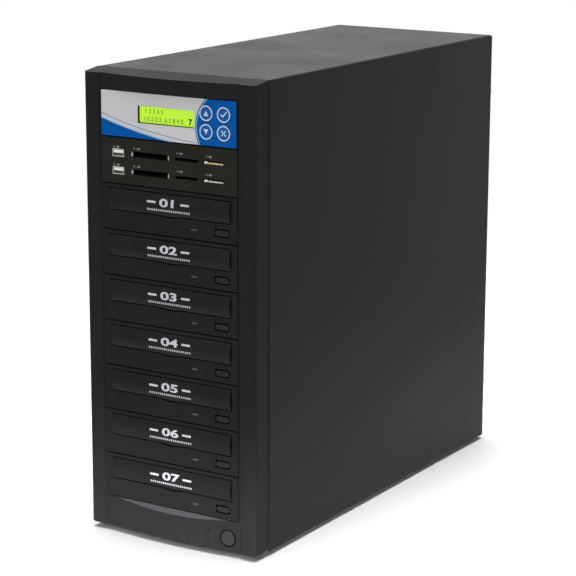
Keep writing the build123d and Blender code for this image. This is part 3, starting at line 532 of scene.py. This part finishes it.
# ---- operators ------------------------------------------------------------
class TOWER_OT_casework(bpy.types.Operator):
    """Finishes the cover, the frame in it, the rear panel, the feet and the screws"""
    bl_idname = "tower.casework"
    bl_label = "Casework"

    def execute(self, context):
        finishes, prints = context.scene.tower_finishes, context.scene.tower_prints
        zinc, nickel, rubber = zinc_steel(), nickel_steel(), foot_rubber()
        dress(powder_coat(finishes), "cover")
        dress(zinc, "chassis_frame", "drive_cage", "rear_panel")
        self.feet(rubber)
        self.thumb_screws(prints, nickel)
        self.small_screws(nickel)
        return {"FINISHED"}

    def feet(self, rubber):
        """Round feet with a hollow sole: a circle swept upwards through a scale for each height."""
        low, high = node_box("feet")
        radius, top = 9.0, high[2]
        outline = superellipse(radius, radius, count=48)
        stages = [(0, 0.4), (0.55, 0.4), (0.6, 0), (0.86, 0), (0.97, 0.5), (1, 1.3), (0.93, top), (0, top)]
        feet = []
        for x in (low[0] + radius, high[0] - radius):
            for y in (low[1] + radius, high[1] - radius):
                points = stacked(outline, (x, 0, y), stages)
                feet.append(points[..., [0, 2, 1]])
        rows, columns = feet[0].shape[:2]
        faces = np.vstack([grid_faces(rows, columns) + n * rows * columns for n in range(len(feet))])
        points = np.concatenate(feet).reshape(-1, 3)
        soles = link_mesh("rubber_feet", points, faces, rubber, "tower", closed=True)
        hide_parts("feet")

    def thumb_screws(self, prints, nickel):
        """Fluted thumb screws through the cover's flange, each a shank with a dished head."""
        low, high = node_box("thumb_screws")
        radius, shank_radius, flute_depth, head, dish = 5.0, 1.9, 0.35, 6.5, 0.8
        x, z = (low[0] + radius, high[0] - radius), (low[2] + radius, high[2] - radius)
        places = [(a, low[1], b) for a in x for b in z]
        length = high[1] - low[1]
        shank, neck = shank_radius / radius, length - head
        stages = [(0, 0), (shank, 0.3), (shank, neck), (0.9, neck), (1, neck + 0.7), (1, length - 1.0)]
        stages += [(0.86, length), (0.5, length), (0.45, length - dish), (0, length - dish)]
        outline = fluted(radius, prints.screw_flutes, flute_depth)
        heads = form("fluted_thumb_screws", outline, places, stages, nickel)
        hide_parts("thumb_screws")

    def small_screws(self, nickel):
        """Low round-headed screws of the fan and of the supply, each with a small recess."""
        face = node_box("rear_panel")[1][1]
        fans = node_box("exhaust_fan_rotor")
        fan_x, fan_z = (fans[0][0] + fans[1][0]) / 2, (fans[0][2] + fans[1][2]) / 2
        supply = node_box("power_supply_case")
        supply_z = (supply[0][2] + supply[1][2]) / 2
        fan_half, supply_half_x, supply_half_z, radius = 35.75, 72.0, 39.5, 3.0
        places = [(fan_x + a, face, fan_z + b) for a in (-fan_half, fan_half) for b in (-fan_half, fan_half)]
        for side in (-supply_half_x, supply_half_x):
            places += [(side, face, supply_z + rise) for rise in (-supply_half_z, supply_half_z)]
        stages = [(1, 0), (0.98, 0.7), (0.85, 1.4), (0.55, 1.8), (0.3, 1.9), (0.26, 1.1), (0, 1.0)]
        small = form("round_head_screws", superellipse(radius, radius, count=24), places, stages, nickel)


class TOWER_OT_front(bpy.types.Operator):
    """Finishes the moulded front, its power button and the lamps"""
    bl_idname = "tower.front"
    bl_label = "Front and button"

    def execute(self, context):
        black = socket_pbt()
        dress(bezel_abs(), "front_bezel")
        dress(black, "power_switch")
        dress(lamp_acrylic(), "lamp_lenses")
        self.button(black)
        self.ledge()
        self.lamp_windows(black)
        return {"FINISHED"}

    def button(self, black):
        """Dished button that stands in a near-black sleeve, an even gap between them; the sleeve darkens that
        gap as painted shade.
        """
        low, high = node_box("power_button")
        clearance, gap, cap, stem = 0.55, 1.1, 13.0, 0.42
        hole, length = (high[0] - low[0]) / 2 + clearance, high[1] - low[1]
        place = ((low[0] + high[0]) / 2, low[1], (low[2] + high[2]) / 2)
        dish = [(0, 1.1), (0.3, 1.0), (0.6, 0.65), (0.8, 0.2), (0.88, 0), (0.95, 0.08), (1, 0.5)]
        stages = dish + [(1, cap), (stem, cap), (stem, length), (0, length)]
        outline = superellipse(hole - gap, hole - gap)
        button = form("dished_power_button", outline, [place], stages, cap_abs(), "power_button")
        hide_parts("power_button")
        # Near-black liner round the hole: painted shade in the gap round the button.
        around = [(1, 0.9), (1, 12.0)]
        sleeve = form("power_button_shade_sleeve", superellipse(hole, hole), [place], around, black, closed=False)

    def ledge(self):
        """Paler skin over the sloping ledge, a painted highlight: straight from the bays' plane out to the
        bow, a circle in plan.

        The bow's circle has a chord of 2 half and a rise of sag; it stands proud of the stiles at the middle.
        The ledge starts just before the stiles and has fallen by drop where the bow is furthest out.
        """
        half, sag, proud, start, drop = 76.0, 5.0, 3.5, 0.1, 4.4
        setback = 0.6  # of the panels behind the stiles
        before, above = 0.05, 0.04  # of the skin, so that it clears the moulding
        radius = (half**2 + sag**2) / (2 * sag)
        stile = node_box("drive_1_bezel")[0][1] - setback
        reach = math.sqrt(radius**2 - (radius - proud + start) ** 2)
        x = np.linspace(-reach, reach, 61)[None, :]
        out = np.linspace(0, 1, 7)[:, None] * (proud - start - radius + np.sqrt(radius**2 - x**2))
        z = node_box("drive_7_bezel")[0][2] - BAY_MARGIN - out * drop / (proud - start) + above
        y = stile - start - out - before
        points = np.stack([np.broadcast_to(x, out.shape), y, z], axis=-1).reshape(-1, 3) * MM
        index = np.arange(points.shape[0]).reshape(out.shape)
        faces = np.stack([index[:-1, :-1], index[1:, :-1], index[1:, 1:], index[:-1, 1:]], axis=-1)
        # The skin is the bezel's ABS made paler: a painted highlight of the light from above, not a part of
        # its own.
        skin = link_mesh("bezel_ledge_painted_highlight", points, faces.reshape(-1, 4), ledge_highlight_abs(), "tower")

    def lamp_windows(self, black):
        """Smoked windows over the two lamps of the lower panel, just proud of its bow."""
        across, heights, front = 42.0, (14.7, 22.7), -232.5
        outline = superellipse(1.45, 1.8, 4.0, 24)
        places = [(across, front, z) for z in heights]
        stages = [(0, 0), (0.9, 0), (1, 0.15), (1, 0.8)]
        windows = form("smoked_lamp_windows", outline, places, stages, black)


class TOWER_OT_controller(bpy.types.Operator):
    """Finishes the controller: film, keys with their printed signs, and the lit display"""
    bl_idname = "tower.controller"
    bl_label = "Controller"

    def execute(self, context):
        finishes, prints = context.scene.tower_finishes, context.scene.tower_prints
        dress(bezel_abs(), "controller_bezel")
        dress(film(finishes, prints), "controller_overlay")
        dress(socket_pbt(), "display_module")
        dress(circuit_board(), "circuit_boards")
        self.keys(finishes, prints)
        self.display(finishes)
        return {"FINISHED"}

    def keys(self, finishes, prints):
        """Blue keys, each with a printed ring and its sign."""
        blue = print_ink("moulded_key_blue", finishes.film_blue, 0.45)
        mark = print_ink("pale_key_ink", finishes.key_mark)
        for key in KEYS:
            node, body = "key_" + key, key + "_key"
            dress(blue, node)
            low, high = node_box(node)
            x, z = (low[0] + high[0]) / 2, (low[2] + high[2]) / 2
            face = low[1] - INK / MM
            outline = superellipse(prints.ring_radius, prints.ring_radius)
            stages = [(1, 0), (1 - prints.ring_width / prints.ring_radius, 0)]
            ring = form(f"{node}_ring", outline, [(x, face, z)], stages, mark, body, closed=False)
            sign = self.sign(key, x, z, face, mark, body)

    def sign(self, key, x, z, face, mark, body):
        """Sign of a key: an arrowhead up or down, a tick or a cross."""
        name = f"key_{key}_sign"
        stroke = 1.2
        if key in ("up", "down"):
            outline = triangle(2.7, 2.4)
            if key == "down":
                outline = outline * (-1, -1)
            return form(name, outline, [(x, face, z)], [(1, 0), (0, 0)], mark, body, closed=False)
        if key == "confirm":
            path = [(-3.0, 0.2), (-2.1, -0.8), (-1.0, -2.0), (0.8, 0.2), (3.2, 2.8)]
        else:
            path = [(-2.4, 2.4), (-1.2, 1.2), (0.0, 0.0), (1.2, -1.2), (2.4, -2.4)]
            mirrored = np.array(path) * (-1, 1) + (x, z)
            second = ribbon(name + "_stroke", mirrored, stroke, face, mark, body)
        return ribbon(name, np.array(path) + (x, z), stroke, face, mark, body)

    def display(self, finishes):
        """Lit pane of the display, and the dark characters that it shows."""
        low, high = node_box("display_module")
        ears, clearance, height, proud = 7.6, 0.8, 15.0, 0.35
        width = high[0] - low[0] - ears - clearance
        x, z = (low[0] + high[0]) / 2, (low[2] + high[2]) / 2
        face = low[1] - proud
        stages = [(0, 0), (0.98, 0), (1, 0.1), (1, 0.3)]
        outline = superellipse(width / 2, height / 2, 40.0, 64)
        pane = form("display_glass", outline, [(x, face, z)], stages, display_glass(finishes), closed=False)
        dark = print_ink("display_segment_black", "#1c260a")
        weak = print_ink("display_segment_olive", "#5f8418")
        level = face - INK / MM
        # Each row: what it shows, its middle across and up from the pane's, its height, ink and weight.
        rows = (
            ("1 2 3 4 5", -14.5, 3.4, 4.0, weak, 0.0),
            ("1 0 2 0 3  6 7 8 9 0", -4.5, -3.4, 4.0, weak, 0.0),
            ("7", 25.0, -3.0, 5.6, dark, 0.05),
        )
        for number, (text, across, rise, size, ink, weight) in enumerate(rows, start=1):
            line = numerals(f"display_row_{number}", text, size, x + across, z + rise,
                            lambda up: np.full(len(up), level), ink, "tower", weight)


class TOWER_OT_reader(bpy.types.Operator):
    """Finishes the card reader: panel, ports, sockets, contacts and the marks over its slots"""
    bl_idname = "tower.reader"
    bl_label = "Card reader"
    WIDE_SLOT, NARROW_SLOT = -20.5, 49.0  # middles of the widest slots and of the outermost, in mm

    def execute(self, context):
        tin = tin_steel()
        dress(reader_abs(), "reader_bezel")
        dress(tin, "port_shells")
        dress(socket_pbt(), "card_sockets")
        low, high = node_box("reader_bezel")
        face, top = low[1], high[2] + BAY_MARGIN
        rows = [top - drop for drop in (14.5, 30.9)]
        self.marks(face, rows)
        self.light_guides(face, rows)
        self.contacts(face, rows, tin)
        return {"FINISHED"}

    def marks(self, face, rows):
        """Plain dash printed over each slot."""
        above, columns = 5.4, (-56.2, -33.0, 14.0, 45.5)
        places = [(x, face - INK / MM, z + above) for z in rows for x in columns]
        ink, dash = print_ink("grey_panel_ink", "#8a8b8f"), superellipse(1.7, 0.9, 4.0, 24)
        marks = form("slot_marks", dash, places, [(1, 0), (0, 0)], ink, closed=False)

    def light_guides(self, face, rows):
        """Clear guide with a rounded front at each end of the wide slots."""
        sunk, half = 0.4, 20.3
        ends = [(self.WIDE_SLOT + side * half, face + sunk, z) for z in rows for side in (-1, 1)]
        stages = [(0, 0), (0.8, 0), (1, 0.4), (1, 1.9), (0, 1.9)]
        clear = print_ink("clear_light_guide", "#c4c4c0", 0.25)
        guides = form("slot_light_guides", superellipse(0.7, 2.2, 5.0, 24), ends, stages, clear)

    def contacts(self, face, rows, tin):
        """Metal inside the sockets: rows of thin rounded fingers, end guides and, far back, pins."""
        length = 12.0
        stages = [(0, 0), (0.7, 0.05), (1, 0.8), (1, length), (0, length)]
        finger = superellipse(0.8, 1.15, 4.0, 12)
        for row, (z, material) in enumerate(zip(rows, (gold_flash(), tin)), start=1):
            places = [(self.NARROW_SLOT + x, face + 0.9, z - 0.6) for x in np.linspace(-8.8, 8.8, 10)]
            blades = form(f"narrow_slot_contacts_{row}", finger, places, stages, material)
        ends = [(self.NARROW_SLOT - 9.2, face + 0.7, z - 0.3) for z in rows]
        guides = form("narrow_slot_guides", superellipse(1.7, 1.5, 5.0, 16), ends, stages, tin)
        deep = face + 14.0
        pins = [(self.WIDE_SLOT + x, deep, z) for z in rows for x in np.linspace(-17, 17, 18)]
        field = form("wide_slot_pins", superellipse(0.3, 0.3, 2.0, 8), pins, stages, tin)


class TOWER_OT_drives(bpy.types.Operator):
    """Finishes the seven disc drives and numbers their doors"""
    bl_idname = "tower.drives"
    bl_label = "Disc drives"

    def execute(self, context):
        finishes, prints = context.scene.tower_finishes, context.scene.tower_prints
        panel, door, tray, button = drive_abs(), door_abs(), tray_polystyrene(), button_abs()
        black = socket_pbt()
        ink = print_ink("grey_pad_print", finishes.door_print)
        for number in DRIVES:
            dress(panel, f"drive_{number}_bezel")
            dress(door, f"drive_{number}_door")
            dress(tray, f"drive_{number}_tray")
            self.button(number, button, black)
            self.number(number, prints.numeral_height, ink)
        dress(zinc_steel(), "drive_cases")
        dress(black, "drive_decks", "drive_sleds")
        dress(motor_steel(), "drive_spindles")
        return {"FINISHED"}

    def button(self, number, satin, black):
        """Eject button with a crowned face, smaller than its hole all round by an even gap; a near-black
        sleeve lines the hole as painted shade in that gap.
        """
        node, body = f"drive_{number}_button", f"drive_{number}_eject"
        low, high = node_box(node)
        across, half_x, half_z, gap = 57.5, 7.5, 3.2, 0.5
        place, length = (across, low[1], (low[2] + high[2]) / 2), high[1] - low[1]
        crown = [(0, 0), (0.6, 0.04), (0.9, 0.15), (1, 0.5)]
        stages = crown + [(1, 1.3), (0.7, 1.4), (0.7, length), (0, length)]
        outline = superellipse(half_x - gap, half_z - gap, 3.6)
        cap = form(f"drive_{number}_crowned_button", outline, [place], stages, satin, body)
        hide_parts(node)
        # Near-black liner round the hole: painted shade in the gap round the button.
        hole = superellipse(half_x + gap, half_z + gap, 5.0)
        around = [(1, 0.75), (1, 5.0), (0.8, 5.0)]
        sleeve = form(f"drive_{number}_button_shade_sleeve", hole, [place], around, black, closed=False)

    def number(self, number, height, ink):
        """Numeral on a door whose face is an arc: y = front + R - sqrt(R^2 - (z - middle)^2).

        Two bars stand beside it, and a row of ticks below.
        """
        low, high = node_box(f"drive_{number}_door")
        half, rise = 11.2, 2.8  # of the door's arc
        middle, radius = high[2] - 9.7, (half**2 + rise**2) / (2 * rise)

        def depth_at(up):
            return low[1] + radius - np.sqrt(radius**2 - (up - middle) ** 2) - INK / MM

        body, text = f"drive_{number}_drawer", f"0{number}"
        above, weight, stretch = 1.9, 0.03, 1.9
        digits = numerals(f"drive_{number}_numeral", text, height, 0.0, middle + above, depth_at,
                          ink, body, weight, stretch)
        bars = ([-18.4, 18.4], above, superellipse(4.9, 1.0, 8.0, 24))
        ticks = (np.linspace(-22.6, 22.6, 20), -5.2, superellipse(0.62, 1.05, 6.0, 16))
        for row, (columns, level, outline) in enumerate((bars, ticks), start=1):
            places = [(x, 0.0, middle + level) for x in columns]
            marks = form(f"drive_{number}_marks_{row}", outline, places, [(1, 0), (0, 0)], ink, body,
                         closed=False, depth_at=depth_at)


class TOWER_OT_supply(bpy.types.Operator):
    """Finishes the power supply, its inlet and switch, and both fans"""
    bl_idname = "tower.supply"
    bl_label = "Supply and fans"

    def execute(self, context):
        dress(zinc_steel(), "power_supply_case")
        dress(circuit_board(), "supply_board")
        dress(nylon(), "power_inlet", "power_rocker")
        dress(socket_pbt(), "fan_frames", "supply_fan_rotor", "exhaust_fan_rotor")
        return {"FINISHED"}


class TOWER_OT_stage(bpy.types.Operator):
    """Lays the floor, hangs the lamps and sets the camera"""
    bl_idname = "tower.stage"
    bl_label = "Stage"

    def execute(self, context):
        stage = context.scene.tower_stage
        self.floor()
        self.world(context, stage)
        up = Vector((0, 0, 1))
        along = Vector((-math.sin(stage.azimuth), math.cos(stage.azimuth), 0.0))  # the way the camera looks
        # Sizes, places and targets in metres, spreads in degrees. The low lamp's beam grazes the foot of the
        # tower, so that the front and the side grow paler downwards.
        back, height, foot = along * 0.5, 2.6, Vector((0, -0.15, -0.1))
        self.lamp("overhead_strip", stage.overhead, (1.3, 4.6), back + height * up, back, along, 60)
        self.lamp("front_softbox", stage.fill, (1.2, 1.2), Vector((-0.5, -2.6, 1.7)), Vector(), up, 180)
        self.lamp("low_softbox", stage.low, (1.0, 0.05), Vector((0.45, -1.15, 0.03)), foot, up, 26)
        self.camera(context, stage)
        context.scene.view_settings.view_transform = "Standard"
        return {"FINISHED"}

    def floor(self):
        """Disc of floor that thins out to nothing between two radii, far outside the object's shadow."""
        rim, fade, rings, spokes = 1.5, 0.75, 12, 96
        material, tree, shader, place = start("pale_matt_floor", Roughness=0.9, Specular_IOR_Level=0.0)
        blotch = 300.0
        tone = shade(tree, speckle(tree, place, blotch), "#f6f6f7", "#fbfbfc")
        tree.links.new(tone, shader.inputs["Base Color"])
        away = add(tree, "ShaderNodeVectorMath", {0: place}, operation="LENGTH").outputs["Value"]
        thin = add(tree, "ShaderNodeMapRange", {"Value": away, "From Min": rim, "From Max": fade})
        tree.links.new(thin.outputs[0], shader.inputs["Alpha"])
        t = np.arange(spokes) * 2 * math.pi / spokes
        radii = np.linspace(rim, 0.0, rings)[:, None]
        points = np.stack([radii * np.cos(t), radii * np.sin(t), np.zeros((rings, spokes))], axis=-1)
        mesh = bpy.data.meshes.new("floor")
        mesh.from_pydata(points.reshape(-1, 3).tolist(), [], grid_faces(rings, spokes).tolist())
        mesh.materials.append(material)
        floor = bpy.data.objects.new("floor", mesh)
        bpy.context.scene.collection.objects.link(floor)

    def world(self, context, stage):
        """White to the camera and in reflections, dimmer as a light."""
        world = bpy.data.worlds.new("studio")
        world.use_nodes = True
        tree = world.node_tree
        tree.nodes.clear()
        rays = add(tree, "ShaderNodeLightPath")
        seen = rays.outputs["Is Camera Ray"]
        for kind in ("Is Glossy Ray", "Is Transmission Ray"):
            either = add(tree, "ShaderNodeMath", {0: seen, 1: rays.outputs[kind]}, operation="MAXIMUM")
            seen = either.outputs[0]
        share = add(tree, "ShaderNodeMapRange", {"Value": seen, "To Min": stage.ambient, "To Max": 1.0})
        inputs = {"Color": linear("#ffffff"), "Strength": share.outputs[0]}
        light = add(tree, "ShaderNodeBackground", inputs)
        add(tree, "ShaderNodeOutputWorld", {"Surface": light.outputs[0]})
        context.scene.world = world

    def lamp(self, name, power, size, place, target, length_way, spread):
        """Rectangular softbox that looks at a target, its second side turned along a direction."""
        light = bpy.data.lights.new(name, "AREA")
        light.shape, light.energy, light.spread = "RECTANGLE", power, math.radians(spread)
        light.size, light.size_y = size
        back = (place - target).normalized()
        side = length_way.cross(back).normalized()
        turn = Matrix((side, back.cross(side), back)).transposed()
        lamp = bpy.data.objects.new(name, light)
        lamp.matrix_world = Matrix.Translation(place) @ turn.to_4x4()
        bpy.context.scene.collection.objects.link(lamp)

    def camera(self, context, stage):
        """Camera that looks along its azimuth and dip, rolled about its own axis."""
        a, e, roll = stage.azimuth, stage.dip, stage.roll
        forward = Vector((-math.sin(a) * math.cos(e), math.cos(a) * math.cos(e), -math.sin(e)))
        right = forward.cross(Vector((0, 0, 1))).normalized()
        up = right.cross(forward)
        c, s, full_frame = math.cos(roll), math.sin(roll), 36.0
        turn = Matrix((c * right + s * up, c * up - s * right, -forward)).transposed()
        view = bpy.data.cameras.new("camera")
        view.lens, view.sensor_width = stage.lens, full_frame
        camera = bpy.data.objects.new("camera", view)
        camera.matrix_world = Matrix.Translation(stage.camera_place) @ turn.to_4x4()
        context.scene.collection.objects.link(camera)
        context.scene.camera = camera


class TOWER_PT_panel(bpy.types.Panel):
    """Lists the tower's operators and settings"""
    bl_label = "Copier tower"
    bl_space_type = "VIEW_3D"
    bl_region_type = "UI"
    bl_category = "Tower"

    def draw(self, context):
        for group in (context.scene.tower_finishes, context.scene.tower_prints, context.scene.tower_stage):
            for name in group.__annotations__:
                self.layout.prop(group, name)
        for operator in OPERATORS:
            self.layout.operator(operator.bl_idname)


GROUPS = {"tower_finishes": TowerFinishes, "tower_prints": TowerPrints, "tower_stage": TowerStage}
OPERATORS = (
    TOWER_OT_casework, TOWER_OT_front, TOWER_OT_controller, TOWER_OT_reader,
    TOWER_OT_drives, TOWER_OT_supply, TOWER_OT_stage,
)


def register():
    for name, group in GROUPS.items():
        bpy.utils.register_class(group)
        setattr(bpy.types.Scene, name, bpy.props.PointerProperty(type=group))
    for kind in (*OPERATORS, TOWER_PT_panel):
        bpy.utils.register_class(kind)


def unregister():
    for kind in reversed((*OPERATORS, TOWER_PT_panel)):
        bpy.utils.unregister_class(kind)
    for name, group in reversed(GROUPS.items()):
        delattr(bpy.types.Scene, name)
        bpy.utils.unregister_class(group)


def main():
    register()
    for step in (
        bpy.ops.tower.casework, bpy.ops.tower.front, bpy.ops.tower.controller, bpy.ops.tower.reader,
        bpy.ops.tower.drives, bpy.ops.tower.supply, bpy.ops.tower.stage,
    ):
        step()


if __name__ == "__main__":
    main()
